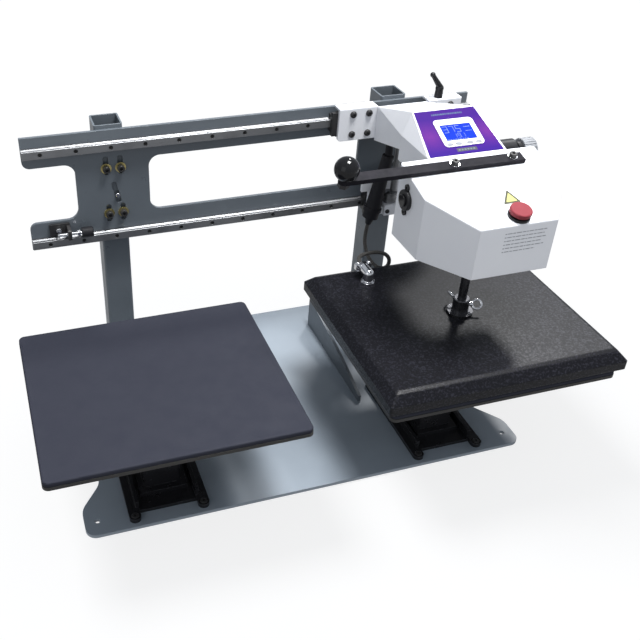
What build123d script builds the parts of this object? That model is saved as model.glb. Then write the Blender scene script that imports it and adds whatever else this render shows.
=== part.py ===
from build123d import *
import math
import os

os.makedirs("parts", exist_ok=True)

# Twin-station sliding heat press.
# Origin: centre of the base plate's underside. +X to the operator's right, +Y to the rear.

# ---------------------------------------------------------------- driving dimensions, mm
BASE_X = 391.0            # half width over the ears
BASE_Y = 254.0            # half depth
BASE_T = 6.35
WAIST_X = 353.5           # half width between the ears
EAR_HOLE_X = 370.0
EAR_HOLE_Y = 225.0
EAR_HOLE_R = 4.5
RIB_X = 155.0
RIB_T = 6.0

POST = 50.0
POST_WALL = 3.0
POST_TOP = 502.0
POST_X = (-245.5, 291.0)
POST_FRONT = 191.0

PLATE_T = 6.0             # rail plate: front face at PLATE_Y
PLATE_Y = POST_FRONT - PLATE_T
PLATE_X = (-397.0, 444.0)
PLATE_Z = (281.0, 495.0)
ARM_Z = (333.0, 439.0)    # top of the lower arm, bottom of the upper arm
NOTCH_X = (-309.0, 356.0)
WINDOW_X = (-179.0, 226.0)
WEB_BOLT_Z = (424.0, 336.0)
WEB_BOLT_DX = (-9.5, 16.0)

RAIL = 15.0
RAIL_X = (-396.0, 444.0)
RAIL_Z = (469.0, 295.8)   # upper, lower
RAIL_FRONT = PLATE_Y - RAIL
RAIL_PITCH = 60.0
RAIL_HOLES = 14
RAIL_FIRST = -366.0

STATION_X = (-253.5, 251.0)
SIDE_RAIL_DX = 57.0
SIDE_RAIL_W = 19.0
COLUMN_TOP = 182.6
PLATEN_W = 406.4
PLATEN_D = 355.6
PLATEN_T = 6.0
PAD_T = 8.0
PLATEN_AT = ((-244.0, -132.0), (286.0, -140.0))

STOP_Z = 315.0
STOP_Y = 165.0

CARRIAGE_Y = 155.0        # front face of the carriage plate
CARRIAGE_T = 6.0
CARRIAGE_X = (168.0, 413.0)
CARRIAGE_Z = (438.0, 500.0)
BLOCK_W = 47.0
BLOCK_CLEAR = 0.3

HOOD_X = (165.5, 404.7)
HOOD_FRONT_X = (218.4, 349.6)
HOOD_REAR = -91.0
HOOD_CHAMFER = -176.0
HOOD_FRONT = -253.0
HOOD_BOTTOM = 381.0
HOOD_TOP = 508.0          # at the rear edge
HOOD_SLOPE = 14.2         # degrees, falling to the front
SHEET = 2.0
NECK_X = (212.2, 353.2)
NECK_TOP_X = (227.0, 340.2)
NECK_REAR = 3.7
NECK_BOTTOM = 465.0
PANEL_SLOPE = 22.7        # degrees, rising to the rear
PANEL_LEN = 102.7

BAR_S = (18.5, 37.5)      # handle bar's edges, measured down the hood's slope
BAR_T = 8.0
BAR_END = 365.0
KNOB_X = 58.0
KNOB_R = 19.5

SHAFT_AT = (290.0, -140.0)
SHAFT_R = 7.5
RUN_FIT = 0.05
SHROUD_W = 426.0
SHROUD_D = 370.0
SHROUD_AT = (288.5, -136.0)
SHROUD_Z = (200.0, 233.0)
SHROUD_CORNER = 4.0      # its upright and mitred corners
SHOULDER = 17.0          # width and rise of its sloping shoulder
SHOULDER_SOFT = 2.5      # height of the shallow bend between shoulder and top
CORD_R = 3.7
GLAND_DROP = 25.0         # the sleeve's nose, below its reference point

SLOPE = Plane((0, HOOD_REAR, HOOD_TOP), x_dir=(1, 0, 0),
              z_dir=(0, -math.sin(math.radians(HOOD_SLOPE)), math.cos(math.radians(HOOD_SLOPE))))
PANEL = Plane((0, HOOD_REAR, HOOD_TOP), x_dir=(1, 0, 0),
              z_dir=(0, -math.sin(math.radians(PANEL_SLOPE)), math.cos(math.radians(PANEL_SLOPE))))


# ---------------------------------------------------------------- helpers
def block(x0, x1, y0, y1, z0, z1):
    """A box between its limits."""
    return Pos((x0 + x1) / 2, (y0 + y1) / 2, (z0 + z1) / 2) * Box(abs(x1 - x0), abs(y1 - y0), abs(z1 - z0))


def rod(start, direction, radius, length):
    """A round bar from start along direction."""
    at = Plane(origin=start, z_dir=direction)
    return at.location * Pos(0, 0, length / 2) * Cylinder(radius, length)


def taper(start, direction, r0, r1, length):
    """A cone frustum from start along direction."""
    at = Plane(origin=start, z_dir=direction)
    return at.location * Pos(0, 0, length / 2) * Cone(r0, r1, length)


def hexagon(start, direction, flats, length):
    """A hexagonal prism from start along direction."""
    at = Plane(origin=start, z_dir=direction)
    return at.location * extrude(RegularPolygon(flats / 2, 6, major_radius=False), length)


def cap_screw(seat, direction, head_r, head_h, key, shank_r, shank_len):
    """Socket screw whose head stands on seat; direction points out of the head."""
    d = Vector(*direction)
    head = rod(seat, direction, head_r, head_h)
    head = chamfer(head.edges().sort_by(lambda e: (e.center() - Vector(*seat)).dot(d))[-1:], head_h * 0.12)
    socket = hexagon(tuple(Vector(*seat) + d * head_h * 0.45), direction, key, head_h)
    shank = rod(seat, tuple(d * -1), shank_r, shank_len)
    return head - socket + shank


def prism_x(points, x0, x1):
    """Outline in Y and Z, pushed along X."""
    face = make_face(Polyline(*[(x0, y, z) for y, z in points], close=True))
    return extrude(face, amount=x1 - x0, dir=(1, 0, 0))


def faceted(sections):
    """Solid from planar faces, each given by its corner points."""
    return Solid(Shell([Face(Wire.make_polygon(corners)) for corners in sections]))


def on_slope(x, s, h=0.0):
    """Place on the hood's top: s down the slope, h above it."""
    return SLOPE.location * Pos(x, -s, h)


def on_panel(x, s, h=0.0):
    """Place on the console panel: s up the panel, h above it."""
    return PANEL.location * Pos(x, s, h)


def save(name, shape):
    export_step(shape if not isinstance(shape, (list, tuple)) else Compound(children=list(shape)),
                "parts/" + name + ".step")


# ---------------------------------------------------------------- base
def base_plate():
    """Flat plate with a swept ear and a hole at each corner."""
    quarter = [(BASE_X, -BASE_Y), (BASE_X, -196.0), (WAIST_X, -146.0)]
    right = quarter + [(x, -y) for x, y in reversed(quarter)]
    outline = right + [(-x, y) for x, y in reversed(right)]
    sketch = make_face(Polyline(*outline, close=True))
    corner = [v for v in sketch.vertices() if abs(v.Y) > 250]
    sketch = fillet(corner, 18)
    shoulder = [v for v in sketch.vertices() if abs(abs(v.Y) - 196) < 0.1 and abs(v.X) > 390]
    sketch = fillet(shoulder, 36)
    waist = [v for v in sketch.vertices() if abs(abs(v.Y) - 146) < 0.1]
    sketch = fillet(waist, 34)
    for x in (-EAR_HOLE_X, EAR_HOLE_X):
        for y in (-EAR_HOLE_Y, EAR_HOLE_Y):
            sketch -= Pos(x, y) * Circle(EAR_HOLE_R)
    plate = extrude(sketch, BASE_T)
    return plate


def base_ribs():
    """Two upright stiffeners that fall towards the front."""
    ribs = []
    for x in (-RIB_X, RIB_X):
        foot = [(-73, 19), (-73, BASE_T), (189, BASE_T), (189, 71)]
        side = Polyline(*[(x - RIB_T / 2, y, z) for y, z in foot])
        top = ThreePointArc((x - RIB_T / 2, 189, 71), (x - RIB_T / 2, 47, 49), (x - RIB_T / 2, -73, 19))
        ribs.append(extrude(make_face(side + top), amount=RIB_T, dir=(1, 0, 0)))
    return ribs


def post(cx):
    """Square tube, open at the top, drilled for the rail plate's bolts."""
    h = POST / 2
    y0 = POST_FRONT
    tube = block(cx - h, cx + h, y0, y0 + POST, BASE_T, POST_TOP)
    tube = fillet(tube.edges().filter_by(Axis.Z), 4)
    w = h - POST_WALL
    hollow = block(cx - w, cx + w, y0 + POST_WALL, y0 + POST - POST_WALL, BASE_T - 1, POST_TOP + 1)
    tube -= fillet(hollow.edges().filter_by(Axis.Z), 2)
    for dx in WEB_BOLT_DX:
        for z in WEB_BOLT_Z:
            tube -= rod((cx + dx, y0 - 1, z), (0, 1, 0), 4.0, 6)
    tube -= rod((cx + 7.5, y0 - 1, 372), (0, 1, 0), 4.0, 6)
    return tube


# ---------------------------------------------------------------- rail plate and rails
def slot_xz(x0, z0, x1, z1, radius):
    """Cutter for a slot through the rail plate."""
    mid = ((x0 + x1) / 2, (z0 + z1) / 2)
    length = math.hypot(x1 - x0, z1 - z0)
    angle = math.degrees(math.atan2(z1 - z0, x1 - x0))
    face = Plane.XZ * Pos(*mid) * Rot(0, 0, angle) * SlotCenterToCenter(length, radius * 2)
    return extrude(Pos(0, POST_FRONT + 2, 0) * face, 12)


def rail_plate():
    """One-piece plate: two arms, two webs, a window and a notch at each end."""
    x0, x1 = PLATE_X
    z0, z1 = PLATE_Z
    a0, a1 = ARM_Z
    outline = [(x0, z0), (x1, z0), (x1, a0), (NOTCH_X[1], a0), (NOTCH_X[1], a1), (x1, a1),
               (x1, z1), (x0, z1), (x0, a1), (NOTCH_X[0], a1), (NOTCH_X[0], a0), (x0, a0)]
    sketch = make_face(Polyline(*outline, close=True))
    inner = [v for v in sketch.vertices() if v.X in NOTCH_X]
    sketch = fillet(inner, 20)
    tips = [v for v in sketch.vertices() if v.X in PLATE_X and v.Y in ARM_Z]
    sketch = fillet(tips, 13)
    window = Pos(sum(WINDOW_X) / 2, sum(ARM_Z) / 2) * RectangleRounded(WINDOW_X[1] - WINDOW_X[0], a1 - a0, 20)
    sketch -= window
    plate = extrude(Plane.XZ.location * sketch, -PLATE_T)
    plate = Pos(0, PLATE_Y, 0) * plate
    for cx in POST_X:
        for dx in WEB_BOLT_DX:
            plate -= slot_xz(cx + dx, WEB_BOLT_Z[0] - 8, cx + dx, WEB_BOLT_Z[0] + 18, 4.75)
            plate -= slot_xz(cx + dx, WEB_BOLT_Z[1] - 12, cx + dx, WEB_BOLT_Z[1] + 13, 4.75)
        plate -= slot_xz(cx + 2.5, 392, cx + 9.5, 360, 4.75)
    for z in RAIL_Z:
        for k in range(RAIL_HOLES):
            plate -= rod((RAIL_FIRST + k * RAIL_PITCH, PLATE_Y - 1, z), (0, 1, 0), 2.1, PLATE_T + 2)
    plate -= rod((-348, PLATE_Y - 1, 318), (0, 1, 0), 2.6, PLATE_T + 2)
    return plate


def rail(z):
    """Profile rail with waisted flanks and counterbored holes."""
    h = RAIL / 2
    y = PLATE_Y
    half = [(y, h), (y - 4.2, h), (y - 6.6, h - 1.9), (y - 9.4, h - 1.9), (y - 11.4, h), (y - 14.2, h), (y - RAIL, h - 0.8)]
    section = [(a, z + b) for a, b in half] + [(a, z - b) for a, b in reversed(half)]
    bar = prism_x(section, *RAIL_X)
    for k in range(RAIL_HOLES):
        x = RAIL_FIRST + k * RAIL_PITCH
        bar -= rod((x, RAIL_FRONT - 1, z), (0, 1, 0), 3.75, 6.3)
        bar -= rod((x, RAIL_FRONT, z), (0, 1, 0), 2.25, RAIL + 1)
    return bar


def rail_screws():
    """Socket screws sunk in the rails' counterbores."""
    screws = []
    for z in RAIL_Z:
        for k in range(RAIL_HOLES):
            seat = (RAIL_FIRST + k * RAIL_PITCH, RAIL_FRONT + 5.3, z)
            screws.append(cap_screw(seat, (0, -1, 0), 3.5, 4.0, 3.0, 2.0, 15.5))
    return screws


def web_bolts():
    """Cap screws that clamp the rail plate to the posts."""
    return [cap_screw((cx + dx, PLATE_Y - 2, z), (0, -1, 0), 6.5, 8, 6.0, 3.9, 12)
            for cx in POST_X for dx in WEB_BOLT_DX for z in WEB_BOLT_Z]


def web_washers():
    """Plated washers under the web bolts."""
    return [rod((cx + dx, PLATE_Y - 2, z), (0, 1, 0), 9.5, 2) - rod((cx + dx, PLATE_Y - 3, z), (0, 1, 0), 4.2, 4)
            for cx in POST_X for dx in WEB_BOLT_DX for z in WEB_BOLT_Z]


def plate_screws():
    """Levelling pins in the slanted slots and the stop bracket's screw."""
    pins = []
    for cx in POST_X:
        pin = rod((cx + 7.5, PLATE_Y - 6, 372), (0, 1, 0), 3.9, 16)
        pins.append(chamfer(pin.edges().sort_by(Axis.Y)[:1], 0.8))
    pins.append(cap_screw((-348, PLATE_Y - 5, 318), (0, -1, 0), 4.8, 4.5, 3.0, 2.5, 11))
    return pins


# ---------------------------------------------------------------- travel stop
def stop_bracket():
    """Angle bracket on the lower arm; its ear carries the threaded rod."""
    foot = block(-364, -328, PLATE_Y - 5, PLATE_Y, 306, 329)
    ear = block(-334, -328, STOP_Y - 9, PLATE_Y, 304.5, 326)
    ear = fillet(ear.edges().filter_by(Axis.X).group_by(Axis.Y)[0], 5)
    body = foot + ear
    body -= rod((-340, STOP_Y, STOP_Z), (1, 0, 0), 3.05, 20)
    body -= rod((-348, PLATE_Y - 8, 318), (0, 1, 0), 2.6, 12)
    return body


def stop_rod():
    """Threaded rod with its jam nut."""
    bar = rod((-352, STOP_Y, STOP_Z), (1, 0, 0), 3.0, 43)
    bar = chamfer(bar.edges().sort_by(Axis.X)[:1], 0.6)
    nut = hexagon((-317, STOP_Y, STOP_Z), (1, 0, 0), 10, 5)
    return bar + nut


def stop_bumper():
    """Rubber buffer on the rod's end."""
    body = rod((-309, STOP_Y, STOP_Z), (1, 0, 0), 9.5, 20)
    return fillet(body.edges().group_by(Axis.X)[-1], 3)


# ---------------------------------------------------------------- stations
def pedestal_rails():
    """Side rails and cross plate bolted to the base under each platen."""
    pieces = []
    for cx in STATION_X:
        for side in (-1, 1):
            x = cx + side * SIDE_RAIL_DX
            w = SIDE_RAIL_W / 2
            bar = block(x - w, x + w, -247, -30, BASE_T, BASE_T + 8)
            bar = fillet(bar.edges().filter_by(Axis.Z), 9)
            lip = block(x - side * w, x - side * (w - 6), -222, -45, BASE_T + 8, BASE_T + 20)
            bar += lip
            for y in (-238, -39):
                bar -= rod((x, y, BASE_T + 4), (0, 0, 1), 6.6, 10)
                bar -= rod((x, y, BASE_T - 1), (0, 0, 1), 3.3, 10)
            pieces.append(bar)
        inner = SIDE_RAIL_DX - SIDE_RAIL_W / 2
        pieces.append(block(cx - inner, cx + inner, -228, -48, BASE_T, BASE_T + 6))
    return pieces


def pedestal_screws():
    """Socket screws in the side rails' ends."""
    return [cap_screw((cx + side * SIDE_RAIL_DX, y, BASE_T + 4), (0, 0, 1), 6.0, 5.0, 5.0, 3.0, 4)
            for cx in STATION_X for side in (-1, 1) for y in (-238, -39)]


def pedestal(cx, top_y):
    """Box column with a foot and a head flange."""
    foot = block(cx - 40, cx + 40, -200, -76, BASE_T + 6, BASE_T + 14)
    outer = block(cx - 31, cx + 31, -188, -88, BASE_T + 14, COLUMN_TOP - 6)
    outer = fillet(outer.edges().filter_by(Axis.Z), 5)
    head = block(cx - 70, cx + 70, top_y - 75, top_y + 75, COLUMN_TOP - 6, COLUMN_TOP)
    head = fillet(head.edges().filter_by(Axis.Z), 8)
    body = foot + outer + head
    body -= block(cx - 26, cx + 26, -183, -93, BASE_T + 14, COLUMN_TOP - 6)
    return body - rod((cx, -138, COLUMN_TOP - 8), (0, 0, 1), 18, 10)


def platen_plate(at):
    """Metal plate under the pad."""
    x, y = at
    return Pos(x, y, COLUMN_TOP) * extrude(RectangleRounded(PLATEN_W, PLATEN_D, 10), PLATEN_T)


def platen_pad(at):
    """Silicone pad that carries the work."""
    x, y = at
    pad = extrude(RectangleRounded(PLATEN_W, PLATEN_D, 10), PAD_T)
    pad = fillet(pad.edges().group_by(Axis.Z)[-1], 2)
    return Pos(x, y, COLUMN_TOP + PLATEN_T) * pad


# ---------------------------------------------------------------- carriage
def bearing_blocks():
    """Linear bearing blocks, two on the upper rail and one on the lower."""
    pieces = []
    for x0, x1, z in ((158, 246, RAIL_Z[0]), (330, 412, RAIL_Z[0]), (241, 323, RAIL_Z[1])):
        h = BLOCK_W / 2
        y = CARRIAGE_Y + CARRIAGE_T
        n = h - 6.5
        c = RAIL / 2 + BLOCK_CLEAR
        half = [(y, h), (y + 8, h), (y + 10, n), (y + 20, n), (y + 20, c), (RAIL_FRONT - BLOCK_CLEAR, c)]
        section = [(a, z + b) for a, b in half] + [(a, z - b) for a, b in reversed(half)]
        body = prism_x(section, x0 + 8, x1 - 8)
        cap = [(a, z + b * 0.94 if b > c else z + b) for a, b in half]
        cap += [(a, z - b * 0.94 if b > c else z - b) for a, b in reversed(half)]
        ends = prism_x(cap, x0, x0 + 8) + prism_x(cap, x1 - 8, x1)
        body = body + ends
        for sx, sz in carriage_screw_places():
            if x0 < sx < x1 and abs(sz - z) < h:
                body -= rod((sx, y - 1, sz), (0, 1, 0), 3.0, 9)
        pieces.append(body)
    return pieces


def carriage_screw_places():
    """Screws that hold the plates to the bearing blocks, as X and Z."""
    upper = [(x, RAIL_Z[0] + dz) for x in (195, 226, 361, 391) for dz in (-19, 19)]
    lower = [(x, RAIL_Z[1] + dz) for x in (256, 308) for dz in (-18, 18)]
    return upper + lower


def carriage_plate():
    """Front plate over both upper blocks, folded back along its top at each ear."""
    x0, x1 = CARRIAGE_X
    z0, z1 = CARRIAGE_Z
    y0, y1 = CARRIAGE_Y, CARRIAGE_Y + CARRIAGE_T
    plate = block(x0, x1, y0, y1, z0, z1 - 4)
    plate = fillet(plate.edges().filter_by(Axis.Y).group_by(Axis.Z)[0], 6)
    for a, b in ((x0, 242.0), (345.0, x1)):
        plate += block(a, b, y0, 178, z1 - 4, z1)
    plate = fillet(plate.edges().filter_by(Axis.X).filter_by(lambda e: e.center().Y < y0 + 0.1
                                                            and e.center().Z > z1 - 0.1), 2.5)
    for sx, sz in carriage_screw_places():
        if sz > 400:
            plate -= rod((sx, y0 - 1, sz), (0, 1, 0), 3.2, CARRIAGE_T + 2)
    plate -= rod((370, 166, z1 - 8), (0, 0, 1), 2.55, 12)
    return plate


def button_screw(seat, direction, head_r, head_h, shank_r, shank_len):
    """Round-headed socket screw."""
    d = Vector(*direction)
    head = rod(seat, direction, head_r, head_h)
    head = fillet(head.edges().sort_by(lambda e: (e.center() - Vector(*seat)).dot(d))[-1:], head_h * 0.8)
    socket = hexagon(tuple(Vector(*seat) + d * head_h * 0.5), direction, head_r * 0.7, head_h)
    return head - socket + rod(seat, tuple(d * -1), shank_r, shank_len)


def carriage_screws():
    """Button-head screws of the upper and lower carriage plates."""
    screws = [button_screw((x, CARRIAGE_Y, z), (0, -1, 0), 6.3, 4.6, 2.95, 13) for x, z in carriage_screw_places()]
    screws.append(button_screw((271, 127.5, 332), (0, 0, 1), 4.4, 3.4, 2.0, 12))
    screws.append(button_screw((268, 118, 299), (0, -1, 0), 4.4, 3.4, 2.0, 8))
    return screws


def shell_points(rear, front, y_rear, y_front):
    """Faces of a hollow arm: four corners at the rear, six at the front, mirrored side walls."""
    (r0, r1, rz0, rz1) = rear
    (f0, f1, t0, t1, fz0, fz1, fz2) = front
    a = [(r0, y_rear, rz0), (r0, y_rear, rz1), (r1, y_rear, rz1), (r1, y_rear, rz0)]
    b = [(f0, y_front, fz0), (f0, y_front, fz1), (t0, y_front, fz2),
         (t1, y_front, fz2), (f1, y_front, fz1), (f1, y_front, fz0)]
    return [[a[0], a[1], a[2], a[3]],
            [b[0], b[5], b[4], b[3], b[2], b[1]],
            [a[0], b[0], b[1], a[1]], [a[1], b[1], b[2]], [a[1], b[2], b[3], a[2]],
            [a[2], b[3], b[4]], [a[2], b[4], b[5], a[3]], [a[0], a[3], b[5], b[0]]]


def arm_cover():
    """Folded sheet cover between the carriage plate and the neck, open underneath."""
    t = SHEET
    outer = faceted(shell_points((242, 337, 433, 498), (*NECK_X, *NECK_TOP_X, 484, 509, 547.6), CARRIAGE_Y, NECK_REAR))
    inner = faceted(shell_points((242 + t, 337 - t, 400, 498 - t),
                                 (NECK_X[0] + t, NECK_X[1] - t, NECK_TOP_X[0] + 1.5, NECK_TOP_X[1] - 1.5,
                                  440, 508, 547.6 - t), CARRIAGE_Y, NECK_REAR))
    return outer - inner


def arm_beam():
    """Steel tube inside the cover that carries the head."""
    outer = block(252, 318, HOOD_REAR, CARRIAGE_Y, 468, 490)
    inner = block(255, 315, HOOD_REAR - 1, CARRIAGE_Y + 1, 471, 487)
    return outer - inner


def neck_box():
    """Console housing between the arm and the hood, open to both."""
    x0, x1 = NECK_X
    t0, t1 = NECK_TOP_X
    t = SHEET
    w = HOOD_TOP

    def body(a0, a1, b0, b1, low, front_z, mid, top):
        f = [(a0, HOOD_REAR, low), (a0, HOOD_REAR, front_z), (a1, HOOD_REAR, front_z), (a1, HOOD_REAR, low)]
        r = [(a0, NECK_REAR, low), (a0, NECK_REAR, mid), (b0, NECK_REAR, top),
             (b1, NECK_REAR, top), (a1, NECK_REAR, mid), (a1, NECK_REAR, low)]
        return faceted([[f[0], f[1], f[2], f[3]], [r[0], r[5], r[4], r[3], r[2], r[1]],
                        [f[0], r[0], r[1], f[1]], [f[1], r[1], r[2]], [f[1], r[2], r[3], f[2]],
                        [f[2], r[3], r[4]], [f[2], r[4], r[5], f[3]], [f[0], f[3], r[5], r[0]]])

    outer = body(x0, x1, t0, t1, NECK_BOTTOM, w, 509, 547.6)
    inner = body(x0 + t, x1 - t, t0 + 1.5, t1 - 1.5, NECK_BOTTOM + t, w - t, 507.6, 547.6 - t)
    return outer - inner


def hood():
    """Sheet-metal head housing: sloping top, two chamfered front corners, flat bottom."""
    t = SHEET

    def body(grow, low, drop):
        x0, x1 = HOOD_X[0] + grow, HOOD_X[1] - grow
        f0, f1 = HOOD_FRONT_X[0] + grow * 0.7, HOOD_FRONT_X[1] - grow * 0.7
        outline = [(x0, HOOD_REAR - grow), (x1, HOOD_REAR - grow), (x1, HOOD_CHAMFER + grow * 0.4),
                   (f1, HOOD_FRONT + grow), (f0, HOOD_FRONT + grow), (x0, HOOD_CHAMFER + grow * 0.4)]
        raw = Pos(0, 0, low) * extrude(make_face(Polyline(*outline, close=True)), 200)
        above = SLOPE.location * Pos(285, -100, 150 - drop) * Box(600, 700, 300)
        return raw - above

    outer = body(0, HOOD_BOTTOM, 0)
    top = outer.faces().sort_by(Axis.Z)[-1]
    outer = fillet(top.edges().filter_by(lambda e: e.center().Y < HOOD_REAR - 1), 3)
    inner = body(t, HOOD_BOTTOM + t, t)
    shell = outer - inner
    shell -= rod((*SHAFT_AT, HOOD_BOTTOM - 1), (0, 0, 1), 14, 4)
    shell -= rod((HOOD_X[0] - 1, -123, 459), (1, 0, 0), 8.2, 4)
    return shell


def head_bushing():
    """Flanged guide for the press shaft."""
    x, y = SHAFT_AT
    body = rod((x, y, HOOD_BOTTOM), (0, 0, 1), 13.9, 62) + rod((x, y, HOOD_BOTTOM - 3), (0, 0, 1), 18, 3)
    return body - rod((x, y, HOOD_BOTTOM - 4), (0, 0, 1), SHAFT_R + RUN_FIT, 70)


def console_overlay():
    """Printed film on the sloping panel, cut out for the bezel."""
    s0, s1 = 1.5, 100.5
    pts = [(216.5, s0), (348.9, s0), (338.6, s1), (228.6, s1)]
    film = make_face(Polyline(*pts, close=True))
    film = fillet(film.vertices(), 1.5)
    film -= Pos((251.3 + 323) / 2, (18 + 77.6) / 2) * RectangleRounded(71.7, 59.6, 7)
    return PANEL.location * extrude(film, 0.5)


def button_places():
    """Panel keys, as X and distance up the panel."""
    return [(260.8, 23.0), (276.2, 23.0), (296.8, 23.0), (312.4, 23.0)]


def console_bezel():
    """White surround of the display with four key openings."""
    sketch = Pos((251.3 + 323) / 2, (18 + 77.6) / 2) * RectangleRounded(71.6, 59.5, 7)
    sketch -= Pos(286.7, 48.0) * RectangleRounded(55.3, 34.5, 1)
    for x, s in button_places():
        sketch -= Pos(x, s) * Ellipse(5.9, 3.4)
    return PANEL.location * extrude(sketch, 1.6)


def lcd_screen():
    """Display window."""
    return PANEL.location * extrude(Pos(286.7, 48.0) * RectangleRounded(55.2, 34.4, 1), 1.1)


def panel_button(at):
    """Oval key standing in the bezel's opening."""
    x, s = at
    key = extrude(Ellipse(5.7, 3.2), 1.4)
    key = fillet(key.edges().group_by(Axis.Z)[-1], 0.4)
    return on_panel(x, s, 0.75) * key


def bar_middle():
    """Distance of the handle bar's centre line down the slope."""
    return sum(BAR_S) / 2


def handle_bar():
    """Flat bar bolted across the hood; its round end reaches out to the knob."""
    w = (BAR_S[1] - BAR_S[0]) / 2
    s = bar_middle()
    flat = Pos((KNOB_X + BAR_END) / 2, -s) * Rectangle(BAR_END - KNOB_X, 2 * w)
    flat = flat + Pos(KNOB_X, -s) * Circle(w)
    for x in (242.5, 345.0, KNOB_X):
        flat -= Pos(x, -s) * Circle(4.2)
    bar = extrude(flat, BAR_T)
    bar = chamfer(bar.edges().filter_by(Axis.Y).group_by(Axis.X)[-1], 1.0)
    return SLOPE.location * bar


def handle_washers():
    """Bright washers under the bar's screws."""
    ring = extrude(Circle(8) - Circle(4.2), 1.6)
    return [on_slope(x, bar_middle(), BAR_T) * ring for x in (242.5, 345.0)]


def handle_screws():
    """Cap screws of the bar and the nut under the knob."""
    s = bar_middle()
    up = tuple(SLOPE.z_dir)
    pieces = []
    for x in (242.5, 345.0):
        seat = (on_slope(x, s, BAR_T + 1.6)).position
        pieces.append(cap_screw(tuple(seat), up, 6.0, 6.0, 5.0, 4.0, BAR_T + 1.6))
    seat = on_slope(KNOB_X, s, -8).position
    pieces.append(hexagon(tuple(seat), up, 16, 8) - rod(tuple(seat), up, 4.1, 9))
    return pieces


def ball_knob():
    """Ball on a stud through the bar's end."""
    s = bar_middle()
    ball = Pos(0, 0, BAR_T + 17.0) * Sphere(KNOB_R)
    ball -= Pos(0, 0, BAR_T - 15) * Box(60, 60, 30)
    ball += Pos(0, 0, BAR_T / 2 - 4.5) * Cylinder(4.0, BAR_T + 10)
    return on_slope(KNOB_X, s) * ball


def estop_collar():
    """Fixed ring of the stop button."""
    ring = extrude(Circle(17) - Circle(9.3), 4.5)
    ring = fillet(ring.edges().group_by(Axis.Z)[-1].sort_by(lambda e: e.length)[-1:], 1)
    return on_slope(291, 149.5) * ring


def estop_button():
    """Red mushroom head."""
    head = Pos(0, 0, 7.5) * extrude(Circle(16.8), 7.0)
    head = fillet(head.edges().group_by(Axis.Z)[-1], 2.2)
    stem = Pos(0, 0, 5.8) * Cylinder(9.2, 4.4)
    return on_slope(291, 149.5) * (head + stem)


def start_housing():
    """Round bezel with two fixing ears on the hood's left side."""
    x = HOOD_X[0]
    body = rod((x, -123, 459), (-1, 0, 0), 17, 6)
    body = fillet(body.edges().group_by(Axis.X)[0], 2)
    for dz in (-21, 21):
        body += rod((x, -123, 459 + dz), (-1, 0, 0), 5.5, 3) - rod((x + 1, -123, 459 + dz), (-1, 0, 0), 2, 6)
    neck = rod((x, -123, 459), (1, 0, 0), 8.1, 12)
    body += neck
    return body - rod((x - 8, -123, 459), (1, 0, 0), 10.3, 7) - rod((x - 8, -123, 459), (1, 0, 0), 5.1, 22)


def start_button():
    """Push button in the housing."""
    x = HOOD_X[0]
    cap = rod((x - 9.0, -123, 459), (1, 0, 0), 10.1, 4.4)
    cap = fillet(cap.edges().group_by(Axis.X)[0], 1.2)
    return cap + rod((x - 5, -123, 459), (1, 0, 0), 5.0, 10)


def lower_bracket():
    """Plate on the lower block with a shelf for the link."""
    y0, y1 = CARRIAGE_Y, CARRIAGE_Y + CARRIAGE_T
    plate = block(228, 321, y0, y1, 327, 362) + block(243.5, 321, y0, y1, 273, 327)
    shelf = block(262, 294, 118, y0, 304, 312) + block(262, 294, 118, 126, 290, 304)
    wall = block(262, 294, 149, y0, 290, 304)
    body = plate + shelf + wall
    for sx, sz in carriage_screw_places():
        if sz < 400:
            body -= rod((sx, y0 - 40, sz), (0, 1, 0), 3.2, 60)
    body -= rod((268, 117, 299), (0, 1, 0), 2.1, 12)
    body -= rod((271, 127.5, 303), (0, 0, 1), 2.1, 20)
    body -= rod((238.5, 130, 270), (0, 0, 1), 0.5, 0.5)
    return body


def link_roller():
    """Bush stack standing on the shelf."""
    body = rod((278, 134, 312), (0, 0, 1), 12, 20)
    body += rod((278, 134, 317), (0, 0, 1), 13.2, 4)
    body += rod((278, 134, 327), (0, 0, 1), 13.2, 3)
    return body - rod((271, 127.5, 311), (0, 0, 1), 2.1, 24)


def lower_link():
    """Upright rod from the bush to the arm beam."""
    return rod((286, 138, 332), (0, 0, 1), 6.5, 136)


def sleeve_axis():
    """Lower point and direction of the cord sleeve."""
    low = Vector(241, 130, 295)
    high = Vector(262, 130, 411)
    return low, (high - low).normalized()


def cord_sleeve():
    """Tapered sleeve that leads the heater cord down from the arm."""
    low, d = sleeve_axis()
    body = rod(tuple(low - d * 10), tuple(d), 15.5, 14)
    body += rod(tuple(low + d * 4), tuple(d), 17.5, 7)
    body += taper(tuple(low + d * 11), tuple(d), 15.0, 10.5, 107)
    body += rod((262.5, 130, 404), (0, 0, 1), 7, 64)
    body += taper(tuple(low - d * GLAND_DROP), tuple(d), 5.5, 9.5, GLAND_DROP - 10)
    return body


def regulator_body():
    """Air regulator on the neck's right side."""
    x = NECK_X[1]
    body = rod((x, -35, 475), (1, 0, 0), 21, 52) + rod((x, -35, 475), (1, 0, 0), 13, 58)
    body = body + rod((x + 58, -35, 475), (1, 0, 0), 16, 8)
    return body - rod((x + 60, -35, 475), (1, 0, 0), 5.1, 10)


def regulator_knob():
    """Fluted adjusting knob."""
    x = NECK_X[1] + 66.3
    knob = rod((x, -35, 475), (1, 0, 0), 20, 24)
    knob = fillet(knob.edges().group_by(Axis.X)[-1], 2)
    for k in range(24):
        a = math.radians(15 * k)
        knob -= rod((x - 1, -35 + 20.6 * math.cos(a), 475 + 20.6 * math.sin(a)), (1, 0, 0), 1.5, 22)
    return knob + rod((x - 5.5, -35, 475), (1, 0, 0), 5.0, 8)


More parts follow.
